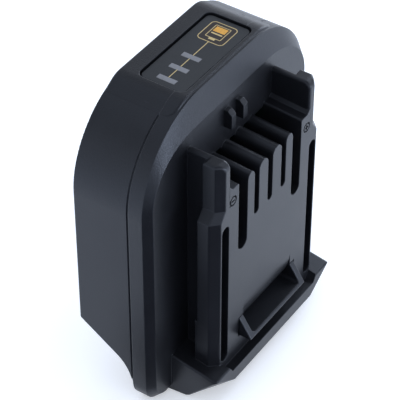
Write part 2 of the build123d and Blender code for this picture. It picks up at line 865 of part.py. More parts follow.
def blade(x, depth):
    """Flat blade through the terminal block, bevelled at its free end and shouldered on top."""
    half = blade_thick / 2
    plate = block(x - half, x + half, block_mid - depth / 2, block_mid + depth / 2, blade_low, blade_high)
    plate = chamfer(plate.faces().sort_by(Axis.Z)[0].edges().filter_by(Axis.Y), half / 2)
    shoulder = block(x - blade_thick, x + blade_thick, block_mid - depth / 2, block_mid + depth / 2,
                     block_high, block_high + blade_thick)
    return plate + shoulder


def make_signal_blades():
    """Two narrower blades for the donor battery's signal contacts."""
    blades = [blade(x, signal_blade_depth) for x in (-signal_blade_x, signal_blade_x)]
    return Compound(children=blades)


def wire(x, radius):
    """Wire from a blade's top up, round one bend and forward to the main board's back."""
    top = blade_high + wire_rise
    start = (x, face_y + block_mid, blade_high)
    corner = (x, face_y + block_mid, top)
    end = (x, face_y + board_back, top)
    path = FilletPolyline(start, corner, end, radius=wire_bend)
    tube = sweep(Plane(origin=start, z_dir=(0, 0, 1)) * Circle(radius), path=path)
    length = (top - blade_high) + (block_mid - board_back) - wire_bend * (2 - pi / 2)
    share = tube.volume / (pi * radius**2 * length)
    print(f"wire bend {wire_bend}, length {length:.2f}, volume ratio {share:.4f}")
    return tube


def make_signal_wires():
    """Two thin wires from the signal blades to the main board."""
    return Compound(children=[wire(x, signal_wire_radius) for x in (-signal_blade_x, signal_blade_x)])


def make_gauge_ribbon():
    """Flat ribbon from the main board's back up to the gauge board's underside."""
    low = board_top - ribbon_drop
    path = FilletPolyline(
        (0, face_y + board_back, low),
        (0, face_y + board_back + ribbon_run, low),
        (0, face_y + board_back + ribbon_run, gauge_board_low),
        radius=ribbon_bend,
    )
    section = Plane(origin=(0, face_y + board_back, low), x_dir=(1, 0, 0), z_dir=(0, 1, 0))
    return sweep(section * Rectangle(ribbon_half * 2, ribbon_thick), path=path)


def make_release_latch():
    """Latch in one piece: tab through the slide's window, base behind it, paddle under the lip."""
    front = -slide_standoff
    head = block(-tab_half_width, tab_half_width, front, latch_base_front + fuse_over, tab_low, tab_high)
    wedge = Polygon(
        (front, tab_high),
        (front - tab_proud, tab_low + tab_tip),
        (front - tab_proud, tab_low),
        (front, tab_low),
        align=None,
    )
    head += side_prism(wedge, -tab_half_width, tab_half_width)
    base = block(-latch_base_half, latch_base_half, latch_base_front, latch_base_back, latch_base_low,
                 latch_base_high)
    base = chamfer(base.edges().filter_by(Axis.Y), edge_break)
    leg = block(-paddle_half, paddle_half, latch_base_front, latch_base_back, paddle_low + paddle_thick,
                latch_base_low + fuse_over)
    thumb = Polygon(
        (latch_base_front, paddle_top),
        (latch_base_front, paddle_low + paddle_thick / 2),
        (latch_base_front + paddle_thick / 2, paddle_low),
        (latch_base_front + paddle_thick, paddle_low),
        (latch_base_front + paddle_thick, paddle_top - paddle_thick / 2),
        (latch_base_back, paddle_top),
        align=None,
    )
    latch = head + base + leg + side_prism(thumb, -paddle_half, paddle_half)
    latch -= scoop_cut(tab_half_width - tab_arm)
    rim = latch.edges().filter_by(lambda edge: edge.center().Y < face_y + front - tab_round)
    latch = fillet(rim, tab_round)
    for x in (-spring_x, spring_x):
        latch += rod(x, spring_z, spring_post_radius, latch_base_back, latch_base_back + spring_post)
    return latch


def spring_points(turns, radius, height, count):
    """Points on a coil, used to measure the gap between its turns."""
    points = []
    for step in range(count + 1):
        share = step / count
        angle = 2 * pi * turns * share
        points.append((radius * cos(angle), height * share, radius * sin(angle)))
    return points


def make_latch_springs():
    """Two compression springs behind the latch."""
    length = front_wall - latch_base_back
    rise = length - spring_wire
    pitch = rise / spring_turns
    coils = []
    for x in (-spring_x, spring_x):
        path = Helix(pitch=pitch, height=rise, radius=spring_radius)
        section = Plane(origin=path @ 0, z_dir=path % 0) * Circle(spring_wire / 2)
        coil = sweep(section, path=path, is_frenet=True)
        place = Pos(x, face_y + latch_base_back + spring_wire / 2, spring_z)
        coils.append(place * Rot(-90, 0, 0) * coil)
    print(f"latch spring: radius {spring_radius}, gap between turns {coil_gap(pitch, rise):.2f}")
    return Compound(children=coils)


def coil_gap(pitch, rise):
    """Least gap between neighbouring turns, measured on points half a turn or more apart."""
    steps = 36
    points = spring_points(spring_turns, spring_radius, rise, steps * spring_turns)
    least = pitch
    for i, first in enumerate(points):
        for second in points[i + steps // 2:]:
            flat = hypot(first[0] - second[0], first[2] - second[2])
            least = min(least, hypot(flat, first[1] - second[1]))
    return least - spring_wire


def make_latch_retainer():
    """Plate that closes the slide's hollow from behind and backs the latch springs."""
    half = neck_half_width + fuse_over
    back = front_wall + retainer_thick
    plate = block(-half, half, front_wall, back, hollow_low - retainer_lap, retainer_top)
    plate = chamfer(plate.edges().filter_by(Axis.Y), retainer_thick)
    for x in (-spring_x, spring_x):
        plate += rod(x, spring_z, spring_post_radius, front_wall - spring_post, front_wall)
    for x in (-retainer_screw_x, retainer_screw_x):
        plate -= rod(x, retainer_screw_z, small_screw_radius + part_gap, front_wall, back)
    return plate


def small_screw(x, z, head_depth):
    """Small screw along the depth, its head against a face at one depth."""
    head = rod(x, z, small_head_radius, head_depth, head_depth + small_head_thick)
    head = chamfer(head.faces().sort_by(Axis.Y)[-1].edges(), edge_break)
    shank = rod(x, z, small_screw_radius, head_depth - small_screw_length + part_gap, head_depth)
    return head + shank - cross(x, z, head_depth + small_head_thick)


def cross(x, z, depth):
    """Cross recess whose mouth is at one depth."""
    wide = block(x - cross_reach / 2, x + cross_reach / 2, depth - cross_depth / 2, depth + cut_over,
                 z - cross_width / 4, z + cross_width / 4)
    tall = block(x - cross_width / 4, x + cross_width / 4, depth - cross_depth / 2, depth + cut_over,
                 z - cross_reach / 2, z + cross_reach / 2)
    return wide + tall


def make_retainer_screws():
    """Two screws through the latch retainer."""
    depth = front_wall + retainer_thick
    places = (-retainer_screw_x, retainer_screw_x)
    return Compound(children=[small_screw(x, retainer_screw_z, depth) for x in places])


def make_board_screws():
    """Three screws through the main board."""
    return Compound(children=[small_screw(x, z, board_back) for x, z in board_screw_places()])


def make_gauge_board_screws():
    """Two screws up through the gauge board into the pillars."""
    screws = []
    for x in (-gauge_screw_x, gauge_screw_x):
        head = post(x, panel_mid, small_head_radius, gauge_board_low - small_head_thick, gauge_board_low)
        head = chamfer(head.faces().sort_by(Axis.Z)[0].edges(), edge_break)
        tip = gauge_board_low + small_screw_length - part_gap
        screws.append(head + post(x, panel_mid, small_screw_radius, gauge_board_low, tip))
    return Compound(children=screws)


def make_housing_screws():
    """Four screws that hold the two shells together, driven from the back."""
    screws = []
    for x, z in ((screw_low_x, screw_low_z), (screw_high_x, screw_high_z)):
        for side in (-1, 1):
            head = rod(side * x, z, screw_head_radius, screw_head_depth, screw_head_depth + screw_head_thick)
            head = chamfer(head.faces().sort_by(Axis.Y)[-1].edges(), edge_break)
            shank = rod(side * x, z, screw_radius, screw_tip_depth, screw_head_depth)
            low = screw_head_depth + screw_head_thick - cross_depth
            high = low + cross_depth + cut_over
            wide = block(-cross_reach, cross_reach, low, high, -cross_width / 2, cross_width / 2)
            tall = block(-cross_width / 2, cross_width / 2, low, high, -cross_reach, cross_reach)
            screws.append(head + shank - Pos(side * x, 0, z) * (wide + tall))
    return Compound(children=screws)


nodes = {
    "front_housing": make_front_housing(),
    "back_housing": make_back_housing(),
    "gauge_panel": make_gauge_panel(),
    "light_guide": make_light_guide(),
    "gauge_board": make_gauge_board(),
    "gauge_leds": make_gauge_leds(),
    "switch_body": make_switch_body(),
    "switch_plunger": make_switch_plunger(),
    "panel_foams": make_panel_foams(),
    "main_board": make_main_board(),
    "control_chip": make_control_chip(),
    "board_capacitor": make_capacitor(),
    "board_fuse": make_board_fuse(),
    "positive_clip": make_power_clip(1),
    "negative_clip": make_power_clip(-1),
    "signal_clips": make_signal_clips(),
    "terminal_block": make_terminal_block(),
    "positive_blade": blade(blade_x, blade_depth),
    "negative_blade": blade(-blade_x, blade_depth),
    "signal_blades": make_signal_blades(),
    "positive_wire": wire(blade_x, power_wire_radius),
    "negative_wire": wire(-blade_x, power_wire_radius),
    "signal_wires": make_signal_wires(),
    "gauge_ribbon": make_gauge_ribbon(),
    "release_latch": make_release_latch(),
    "latch_springs": make_latch_springs(),
    "latch_retainer": make_latch_retainer(),
    "retainer_screws": make_retainer_screws(),
    "board_screws": make_board_screws(),
    "gauge_board_screws": make_gauge_board_screws(),
    "housing_screws": make_housing_screws(),
}

for name, shape in nodes.items():
    export_step(shape, f"parts/{name}.step")
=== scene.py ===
"""Looks of the tool battery adapter: finishes, gauge print, springs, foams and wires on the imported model."""

import bpy
import numpy as np
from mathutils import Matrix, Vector


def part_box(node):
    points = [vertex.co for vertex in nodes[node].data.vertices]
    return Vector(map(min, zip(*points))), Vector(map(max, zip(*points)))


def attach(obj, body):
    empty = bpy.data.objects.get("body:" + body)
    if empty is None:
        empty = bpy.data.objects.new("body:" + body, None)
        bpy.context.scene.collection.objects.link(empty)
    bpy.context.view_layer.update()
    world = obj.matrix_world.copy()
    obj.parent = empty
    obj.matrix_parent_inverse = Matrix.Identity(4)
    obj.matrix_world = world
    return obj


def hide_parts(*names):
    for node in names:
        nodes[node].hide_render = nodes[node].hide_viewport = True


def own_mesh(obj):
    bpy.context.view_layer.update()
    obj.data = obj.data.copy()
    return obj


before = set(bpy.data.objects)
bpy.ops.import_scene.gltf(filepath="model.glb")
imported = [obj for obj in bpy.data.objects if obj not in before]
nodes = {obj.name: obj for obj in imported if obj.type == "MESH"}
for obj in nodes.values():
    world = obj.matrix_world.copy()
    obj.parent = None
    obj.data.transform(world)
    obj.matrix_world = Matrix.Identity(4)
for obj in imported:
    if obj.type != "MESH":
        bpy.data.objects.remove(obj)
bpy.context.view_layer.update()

MM = 0.001


# Helpers


def linear(code, lift=1.0):
    """sRGB hex value as linear red, green, blue and alpha, each colour times a lift and at most 1."""
    parts = [int(code[i : i + 2], 16) / 255 for i in (1, 3, 5)]
    parts = [c / 12.92 if c < 0.04045 else ((c + 0.055) / 1.055) ** 2.4 for c in parts]
    return tuple(min(1.0, c * lift) for c in parts) + (1.0,)


def add(tree, kind, inputs=None, **settings):
    """One node with its settings; each input is a value, or another node's output to link from."""
    made = tree.nodes.new(kind)
    for key, value in settings.items():
        setattr(made, key, value)
    for key, value in (inputs or {}).items():
        if isinstance(value, bpy.types.NodeSocket):
            tree.links.new(value, made.inputs[key])
        else:
            made.inputs[key].default_value = value
    return made


def blank_material(name):
    """Empty node material and its tree."""
    made = bpy.data.materials.new(name)
    made.use_nodes = True
    made.node_tree.nodes.clear()
    return made, made.node_tree


def corners(node):
    """Lowest and highest corner of a CAD node as arrays, in metres."""
    return tuple(np.array(corner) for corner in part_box(node))


def mesh_piece(name, points, faces, material, smooth=True):
    """Object at the origin from a point array and a face list."""
    mesh = bpy.data.meshes.new(name)
    mesh.from_pydata(np.asarray(points).tolist(), [], faces)
    mesh.validate()
    mesh.materials.append(material)
    mesh.polygons.foreach_set("use_smooth", [smooth] * len(mesh.polygons))
    mesh.update()
    piece = bpy.data.objects.new(name, mesh)
    bpy.context.scene.collection.objects.link(piece)
    return piece


def ring_faces(rows, columns):
    """Quads between neighbouring rings of a grid whose columns close on themselves."""
    row, column = np.meshgrid(np.arange(rows - 1), np.arange(columns), indexing="ij")
    here, after = row * columns + column, row * columns + (column + 1) % columns
    return np.stack([here, after, after + columns, here + columns], -1).reshape(-1, 4)


def caps(rows, columns):
    """Triangles from the first ring to the point after the grid, and from the last ring to the next point."""
    here = np.arange(columns)
    after = (here + 1) % columns
    top = (rows - 1) * columns
    first = np.stack([np.full(columns, rows * columns), after, here], 1)
    last = np.stack([np.full(columns, rows * columns + 1), top + here, top + after], 1)
    return first.tolist() + last.tolist()


def tube_shape(path, radius, sides):
    """Tube round a path p(i): p(i) + r (cos t side + sin t up), square to the path.

    Each end is closed by triangles to its own point of the path.
    """
    along = np.gradient(path, axis=0)
    along /= np.linalg.norm(along, axis=1)[:, None]
    guide = [1.0, 0.0, 0.0] if abs(along[:, 0]).max() < 0.9 else [0.0, 1.0, 0.0]
    side = np.cross(guide, along)
    side /= np.linalg.norm(side, axis=1)[:, None]
    up = np.cross(along, side)
    turn = np.linspace(0, 2 * np.pi, sides, endpoint=False)[:, None]
    rings = path[:, None] + radius * (np.cos(turn) * side[:, None] + np.sin(turn) * up[:, None])
    points = np.concatenate([rings.reshape(-1, 3), path[:1], path[-1:]])
    return points, ring_faces(len(path), sides).tolist() + caps(len(path), sides)


def rounded_outline(half_x, half_y, corner, steps=8):
    """Outline of a rounded rectangle: each corner is a quarter circle around its own centre."""
    quarter = np.linspace(0, np.pi / 2, steps)
    turns = (quarter[None] + np.arange(4)[:, None] * np.pi / 2).ravel()
    centre_x = np.repeat([1, -1, -1, 1], steps) * (half_x - corner)
    centre_y = np.repeat([1, 1, -1, -1], steps) * (half_y - corner)
    return np.stack([centre_x + corner * np.cos(turns), centre_y + corner * np.sin(turns)], 1)


def patch_shape(outline, centre, low, high):
    """Flat ink patch: an outline at two heights, closed below and above by its middle point."""
    count = len(outline)
    flat = outline + np.asarray(centre)
    rings = [np.column_stack([flat, np.full(count, z)]) for z in (low, high)]
    middle = flat.mean(0)
    points = np.concatenate(rings + [[[*middle, low]], [[*middle, high]]])
    return points, ring_faces(2, count).tolist() + caps(2, count)


def line_shape(outline, width, centre, low, high):
    """Flat ink line round an outline: outer and inner edge at two heights, four rings joined in a loop."""
    count = len(outline)
    ahead = np.roll(outline, -1, 0) - np.roll(outline, 1, 0)
    inward = np.column_stack([-ahead[:, 1], ahead[:, 0]])
    inward /= np.linalg.norm(inward, axis=1)[:, None]
    outer = outline + np.asarray(centre)
    inner = outer + inward * width
    order = [(outer, low), (outer, high), (inner, high), (inner, low)]
    rings = [np.column_stack([flat, np.full(count, z)]) for flat, z in order]
    return np.concatenate(rings), (ring_faces(5, count) % (4 * count)).tolist()


def joined(shapes):
    """Several point and face lists as one."""
    points, faces, start = [], [], 0
    for shape_points, shape_faces in shapes:
        points.append(shape_points)
        faces += [[i + start for i in face] for face in shape_faces]
        start += len(shape_points)
    return np.concatenate(points), faces


# Finishes


# Sizes of the patterns in mm: width of a flow streak, of a clump of pigment, of a cloud of oxide and of a
# pinhole in ink
FLOW = 13.0
PIGMENT = 0.9
TARNISH = 2.2
PINHOLE = 0.35

# Edges are marked where the rounded normal leaves the face's own, from the first cosine to the second, and
# only where this share of the sky is open within this many mm, so that inner corners stay dark; on plastics
# the mark carries rubbed wear and a painted edge highlight, on metals bare metal
EDGE_TURN_STARTS, EDGE_TURN_FULL = 0.995, 0.86
EDGE_REACH = 1.2
CORNER_OPEN, EDGE_OPEN = 0.62, 0.9

# Plastics: craters per grain and their share beside the finer pits; share of the pigment in the drift of
# colour, the drift that reads as dark and as pale, and the lift of the colour there
CRATERS_PER_GRAIN = 0.7
CRATER_SHARE = 0.35
PIGMENT_SHARE = 0.35
DRIFT_DARK, DRIFT_PALE = 0.45, 0.95
DARK_LIFT, PALE_LIFT = 0.8, 1.22

# Rubbed edges and their painted highlight are ragged with the pigment, and the edges are smoother than the
# rest; other roughness drifts by this much
RAGGED = {"From Min": 0.3, "From Max": 0.7, "To Min": 0.15, "To Max": 0.75}
RUB_SMOOTHS = -0.16
ROUGH_DRIFT = 0.05

# Polished part of a mould: width in mm of its run-out to the matt part, and how much grain it keeps
POLISH_BLEND = 0.2
POLISH_GRAIN = 0.3

# What plastics mirror has a cool cast, and their IOR is that of nylon, acetal and epoxy alike
SHELL_CAST = "#d9e3f6"
PLASTIC_CAST = "#e6ecf6"
PLASTIC_IOR = 1.5

# Metals: the clouds that read as clean and as dull, the lift of bare edges, how much smoother clean metal
# and how much rougher dull metal is, and the depth of a drawn line in mm
CLEAN_CLOUD, DULL_CLOUD = 0.38, 0.68
BARE_LIFT = 1.25
CLEAN_SMOOTHS, DULL_ROUGHS = -0.06, 0.12
LINE_DEPTH = 0.004

# Ink: the film that reads as thin and as full, its tone where thin, its roughness beside the mean where
# thin and full, and its relief in mm and strength
FILM_THIN, FILM_FULL = 0.3, 0.55
THIN_LIFT = 0.78
THIN_ROUGHS, FULL_SMOOTHS = 0.1, -0.08
FILM_RELIEF = 0.01
FILM_STRENGTH = 0.6


def edge_masks(tree, edge):
    """Normal rounded over the edges by so many mm, and a mask that is 1 on outer edges and 0 elsewhere."""
    rounded = add(tree, "ShaderNodeBevel", {"Radius": edge * MM}, samples=6).outputs["Normal"]
    face = add(tree, "ShaderNodeNewGeometry").outputs["Normal"]
    turn = add(tree, "ShaderNodeVectorMath", {0: rounded, 1: face}, operation="DOT_PRODUCT").outputs["Value"]
    sharp = {"Value": turn, "From Min": EDGE_TURN_STARTS, "From Max": EDGE_TURN_FULL}
    sharp = add(tree, "ShaderNodeMapRange", sharp).outputs["Result"]
    sky = {"Distance": EDGE_REACH * MM}
    sky = add(tree, "ShaderNodeAmbientOcclusion", sky, samples=6).outputs["AO"]
    outer = {"Value": sky, "From Min": CORNER_OPEN, "From Max": EDGE_OPEN}
    outer = add(tree, "ShaderNodeMapRange", outer).outputs["Result"]
    return rounded, add(tree, "ShaderNodeMath", {0: sharp, 1: outer}, operation="MULTIPLY").outputs["Value"]


def moulded(name, colour, rubbed_and_highlight_colour, rough, grain, relief, edge, cast=PLASTIC_CAST, smooth_before=None):
    """Moulded plastic; grain, relief and edge radius in mm.

    Colour drifts slowly with the melt's flow and finely with the pigment. The grain is soft craters with
    noise on them, as spark erosion leaves. Outer edges are rubbed smoother, and paler with a colour that is
    partly rubbed wear and partly a painted edge highlight. The cast is the colour of what the plastic
    mirrors. Faces in front of the y of smooth_before come from a polished part of the mould and keep less
    grain.
    """
    made, tree = blank_material(name)
    place = add(tree, "ShaderNodeTexCoord").outputs["Object"]
    rounded, outer = edge_masks(tree, edge)
    noise = {"Vector": place, "Scale": 1 / (grain * MM), "Detail": 3.0, "Roughness": 0.62}
    pits = add(tree, "ShaderNodeTexNoise", noise).outputs["Fac"]
    craters = {"Vector": place, "Scale": CRATERS_PER_GRAIN / (grain * MM)}
    craters = add(tree, "ShaderNodeTexVoronoi", craters, feature="SMOOTH_F1").outputs["Distance"]
    skin = {0: craters, 1: CRATER_SHARE, 2: pits}
    skin = add(tree, "ShaderNodeMath", skin, operation="MULTIPLY_ADD").outputs["Value"]
    flow = {"Vector": place, "Scale": 1 / (FLOW * MM), "Detail": 4.0, "Distortion": 0.8}
    flow = add(tree, "ShaderNodeTexNoise", flow).outputs["Fac"]
    speck = {"Vector": place, "Scale": 1 / (PIGMENT * MM), "Detail": 2.0}
    speck = add(tree, "ShaderNodeTexNoise", speck).outputs["Fac"]
    drift = {0: speck, 1: PIGMENT_SHARE, 2: flow}
    drift = add(tree, "ShaderNodeMath", drift, operation="MULTIPLY_ADD").outputs["Value"]
    tone = {"Value": drift, "From Min": DRIFT_DARK, "From Max": DRIFT_PALE}
    tone = add(tree, "ShaderNodeMapRange", tone).outputs["Result"]
    base = {"Factor": tone, 6: linear(colour, DARK_LIFT), 7: linear(colour, PALE_LIFT)}
    base = add(tree, "ShaderNodeMix", base, data_type="RGBA").outputs[2]
    # Outer edges take the paler colour, which is rubbed wear and a painted edge highlight, frayed by the
    # pigment
    fray = add(tree, "ShaderNodeMapRange", {"Value": speck, **RAGGED}).outputs["Result"]
    rubbed_and_highlight_mask = add(tree, "ShaderNodeMath", {0: outer, 1: fray}, operation="MULTIPLY").outputs["Value"]
    edge_toned = {"Factor": rubbed_and_highlight_mask, 6: base, 7: linear(rubbed_and_highlight_colour)}
    edge_toned = add(tree, "ShaderNodeMix", edge_toned, data_type="RGBA").outputs[2]
    level = {"Value": flow, "To Min": rough - ROUGH_DRIFT, "To Max": rough + ROUGH_DRIFT}
    level = add(tree, "ShaderNodeMapRange", level).outputs["Result"]
    if smooth_before is not None:
        depth = add(tree, "ShaderNodeSeparateXYZ", {"Vector": place}).outputs["Y"]
        blend = POLISH_BLEND * MM
        kept = {"Value": depth, "From Min": smooth_before - blend, "From Max": smooth_before + blend}
        kept = {**kept, "To Min": POLISH_GRAIN}
        kept = add(tree, "ShaderNodeMapRange", kept).outputs["Result"]
        skin = add(tree, "ShaderNodeMath", {0: skin, 1: kept}, operation="MULTIPLY").outputs["Value"]
    level = {0: rubbed_and_highlight_mask, 1: RUB_SMOOTHS, 2: level}
    level = add(tree, "ShaderNodeMath", level, operation="MULTIPLY_ADD").outputs["Value"]
    bump = {"Height": skin, "Distance": relief * MM, "Strength": 1.0, "Normal": rounded}
    bump = add(tree, "ShaderNodeBump", bump).outputs["Normal"]
    shader = {"Base Color": edge_toned, "Roughness": level, "Normal": bump}
    shader = {**shader, "IOR": PLASTIC_IOR, "Specular Tint": linear(cast)}
    shader = add(tree, "ShaderNodeBsdfPrincipled", shader).outputs["BSDF"]
    add(tree, "ShaderNodeOutputMaterial", {"Surface": shader})
    return made


def metal(name, colour, dull, rough, line, stretch, edge=0.08):
    """Sheet or drawn metal; line width and edge radius in mm, and a stretch along x, y and z.

    Fine lines run along the way it was rolled or drawn, and clouds of oxide or worn plating are duller.
    """
    made, tree = blank_material(name)
    place = add(tree, "ShaderNodeTexCoord").outputs["Object"]
    rounded, outer = edge_masks(tree, edge)
    drawn = add(tree, "ShaderNodeMapping", {"Vector": place, "Scale": stretch}).outputs["Vector"]
    lines = {"Vector": drawn, "Scale": 1 / (line * MM), "Detail": 3.0}
    lines = add(tree, "ShaderNodeTexNoise", lines).outputs["Fac"]
    cloud = {"Vector": place, "Scale": 1 / (TARNISH * MM), "Detail": 4.0, "Distortion": 0.5}
    cloud = add(tree, "ShaderNodeTexNoise", cloud).outputs["Fac"]
    tarnish = {"Value": cloud, "From Min": CLEAN_CLOUD, "From Max": DULL_CLOUD}
    tarnish = add(tree, "ShaderNodeMapRange", tarnish).outputs["Result"]
    base = {"Factor": tarnish, 6: linear(colour), 7: linear(dull)}
    base = add(tree, "ShaderNodeMix", base, data_type="RGBA").outputs[2]
    edge_toned = {"Factor": outer, 6: base, 7: linear(colour, BARE_LIFT)}
    edge_toned = add(tree, "ShaderNodeMix", edge_toned, data_type="RGBA").outputs[2]
    level = {"Value": tarnish, "To Min": rough + CLEAN_SMOOTHS, "To Max": rough + DULL_ROUGHS}
    level = add(tree, "ShaderNodeMapRange", level).outputs["Result"]
    bump = {"Height": lines, "Distance": LINE_DEPTH * MM, "Strength": 1.0, "Normal": rounded}
    bump = add(tree, "ShaderNodeBump", bump).outputs["Normal"]
    shader = {"Base Color": edge_toned, "Metallic": 1.0, "Roughness": level, "Normal": bump}
    shader = add(tree, "ShaderNodeBsdfPrincipled", shader).outputs["BSDF"]
    add(tree, "ShaderNodeOutputMaterial", {"Surface": shader})
    return made


def printed(name, colour, rough=0.5):
    """Pad-printed ink: a thin uneven film with pinholes of a darker tone."""
    made, tree = blank_material(name)
    place = add(tree, "ShaderNodeTexCoord").outputs["Object"]
    film = {"Vector": place, "Scale": 1 / (PINHOLE * MM), "Detail": 3.0}
    film = add(tree, "ShaderNodeTexNoise", film).outputs["Fac"]
    tone = {"Value": film, "From Min": FILM_THIN, "From Max": FILM_FULL}
    tone = add(tree, "ShaderNodeMapRange", tone).outputs["Result"]
    base = {"Factor": tone, 6: linear(colour, THIN_LIFT), 7: linear(colour)}
    base = add(tree, "ShaderNodeMix", base, data_type="RGBA").outputs[2]
    level = {"Value": film, "To Min": rough + THIN_ROUGHS, "To Max": rough + FULL_SMOOTHS}
    level = add(tree, "ShaderNodeMapRange", level).outputs["Result"]
    bump = {"Height": film, "Distance": FILM_RELIEF * MM, "Strength": FILM_STRENGTH}
    bump = add(tree, "ShaderNodeBump", bump).outputs["Normal"]
    shader = {"Base Color": base, "Roughness": level, "Normal": bump, "IOR": PLASTIC_IOR}
    shader = add(tree, "ShaderNodeBsdfPrincipled", shader).outputs["BSDF"]
    add(tree, "ShaderNodeOutputMaterial", {"Surface": shader})
    return made


# Glass-filled nylon from a spark-eroded mould: matt near-black on the body, which lights up blue-grey only
# where it mirrors something pale; the slide in front of the body comes from a smoother part of the mould.
# Real grain is about 0.05 mm and is drawn at 0.34 mm, so that it shows.
SLIDE_BACK = -4.6 * MM
# The paler colour on its outer edges is rubbed wear and a painted edge highlight
shell_nylon = moulded(
    "spark_eroded_nylon", "#111216", "#363a42", 0.38, 0.34, 0.06, 0.32, SHELL_CAST, smooth_before=SLIDE_BACK
)
# The same nylon from a finely blasted mould: flatter and a touch greener, for the press plate
plate_nylon = moulded("fine_grain_nylon", "#1f2225", "#3f4449", 0.42, 0.22, 0.02, 0.15, SHELL_CAST)
# Moulded acetal: closer skin than nylon, so the latch has a faint waxy sheen; the paler colour along its rim
# is rubbed wear and a painted edge highlight
latch_acetal = moulded("moulded_acetal", "#111216", "#3c4048", 0.38, 0.5, 0.012, 0.35, SHELL_CAST)
# Frosted polycarbonate: cloudy grey bars, lighter than the plate and softly glossy
guide_polycarbonate = moulded("frosted_polycarbonate", "#74777f", "#9a9da4", 0.42, 0.25, 0.01, 0.1)
# Flame-retardant nylon: dry, slightly greyer black for the parts that hold live metal
block_nylon = moulded("flame_retardant_nylon", "#1d1e21", "#46484e", 0.6, 0.3, 0.02, 0.2)
# Transfer-moulded epoxy of chips and switches: dull black with a fine tooth
package_epoxy = moulded("moulded_epoxy", "#101113", "#333438", 0.55, 0.15, 0.01, 0.12)
# Glass laminate under solder mask: glossy deep green, straw-coloured glass at the cut edges
board_laminate = moulded("solder_masked_laminate", "#0e4a2c", "#b9b58a", 0.35, 0.6, 0.006, 0.08)
# Clear epoxy over phosphor: pale yellow lamps
lamp_epoxy = moulded("lamp_epoxy", "#d8d2a4", "#eeeeea", 0.3, 0.3, 0.004, 0.08)
# Pressed steatite: dry beige body of the fuse
fuse_ceramic = moulded("steatite_ceramic", "#b7a27c", "#d0c4a6", 0.5, 0.25, 0.008, 0.15)
# Closed-cell polyurethane: dull dark foam with open cells at its cut faces
foam_cells = moulded("closed_cell_foam", "#3c3d40", "#57585c", 0.9, 0.45, 0.12, 0.3)
# Laminated polyester: off-white ribbon with a slight gloss
ribbon_film = moulded("ribbon_polyester", "#c9c8bf", "#e4e3da", 0.4, 0.5, 0.006, 0.05)
# Extruded silicone sleeves: soft, dusty, faintly shiny
red_silicone = moulded("red_silicone_sleeve", "#a3191a", "#c24a46", 0.5, 0.4, 0.008, 0.1)
black_silicone = moulded("black_silicone_sleeve", "#121214", "#2d2d31", 0.5, 0.4, 0.008, 0.1)
yellow_silicone = moulded("yellow_silicone_sleeve", "#c79a1d", "#dcbb57", 0.5, 0.4, 0.008, 0.1)

# Stamped phosphor bronze: brown metal with darker oxide, rolled along its height
contact_bronze = metal("phosphor_bronze", "#8c6a43", "#4f3c28", 0.34, 0.05, (1.0, 1.0, 0.06))
# Nickel-plated brass: warm pale silver, dulled where it has been handled
blade_nickel = metal("nickel_plated_brass", "#c3beb0", "#98917f", 0.28, 0.05, (1.0, 1.0, 0.06))
# Black zinc over steel: dark grey heads, brighter where the driver has rubbed them
screw_steel = metal("black_zinc_steel", "#55565a", "#303134", 0.38, 0.08, (1.0, 1.0, 1.0))
# Drawn spring steel: clean grey wire with lines along its draw
spring_wire_steel = metal("drawn_spring_steel", "#9b9b9e", "#6f6f72", 0.3, 0.04, (1.0, 0.2, 1.0))
# Deep-drawn aluminium can: soft white metal with lines up its side
can_aluminium = metal("drawn_aluminium", "#b9b9be", "#96969c", 0.3, 0.05, (1.0, 0.1, 1.0))

# Epoxy pad-printing inks: pale gold lines, an amber charge block and the brown ground under them
line_ink = printed("pale_gold_ink", "#bdab7b")
charge_ink = printed("amber_ink", "#cf9a3c")
ground_ink = printed("brown_ink", "#1c1315", 0.55)

finish_of = {
    "front_housing": shell_nylon,
    "back_housing": shell_nylon,
    "gauge_panel": plate_nylon,
    "light_guide": guide_polycarbonate,
    "gauge_board": board_laminate,
    "main_board": board_laminate,
    "gauge_leds": lamp_epoxy,
    "switch_body": package_epoxy,
    "switch_plunger": package_epoxy,
    "control_chip": package_epoxy,
    "board_capacitor": can_aluminium,
    "board_fuse": fuse_ceramic,
    "positive_clip": contact_bronze,
    "negative_clip": contact_bronze,
    "signal_clips": contact_bronze,
    "terminal_block": block_nylon,
    "latch_retainer": block_nylon,
    "positive_blade": blade_nickel,
    "negative_blade": blade_nickel,
    "signal_blades": blade_nickel,
    "gauge_ribbon": ribbon_film,
    "release_latch": latch_acetal,
    "retainer_screws": screw_steel,
    "board_screws": screw_steel,
    "gauge_board_screws": screw_steel,
    "housing_screws": screw_steel,
}
for node, finish in finish_of.items():
    nodes[node].data.materials[0] = finish


# Print on the gauge panel: fine lines between the bars lead to a rounded box with a battery symbol in it


panel_top = corners("gauge_panel")[1][2]
guide_low, guide_high = corners("light_guide")
bars_y = (guide_low[1] + guide_high[1]) / 2
INK_LOW = panel_top - 0.004 * MM
INK_HIGH = panel_top + 0.016 * MM
SECOND_COAT = 0.004 * MM
LINE_HALF = 0.115 * MM
LINE_CORNER = 0.02 * MM
BAR_HALF = 0.8 * MM
BOX_X = 9.9 * MM
BOX_HALF = np.array([4.3, 4.05]) * MM
BOX_CORNER = 1.35 * MM
CELL_X = BOX_X + 0.35 * MM
CELL_HALF = np.array([2.8, 2.4]) * MM
CELL_CORNER = 0.3 * MM
CELL_LINE = 0.22 * MM
KNOB_HALF = np.array([0.36, 0.95]) * MM
CHARGE_X = CELL_X + 1.15 * MM
CHARGE_HALF = np.array([1.1, 1.8]) * MM
STRIPE_X = CELL_X - 0.75 * MM
STRIPE_HALF = np.array([0.25, 1.7]) * MM
MARK_CORNER = 0.12 * MM

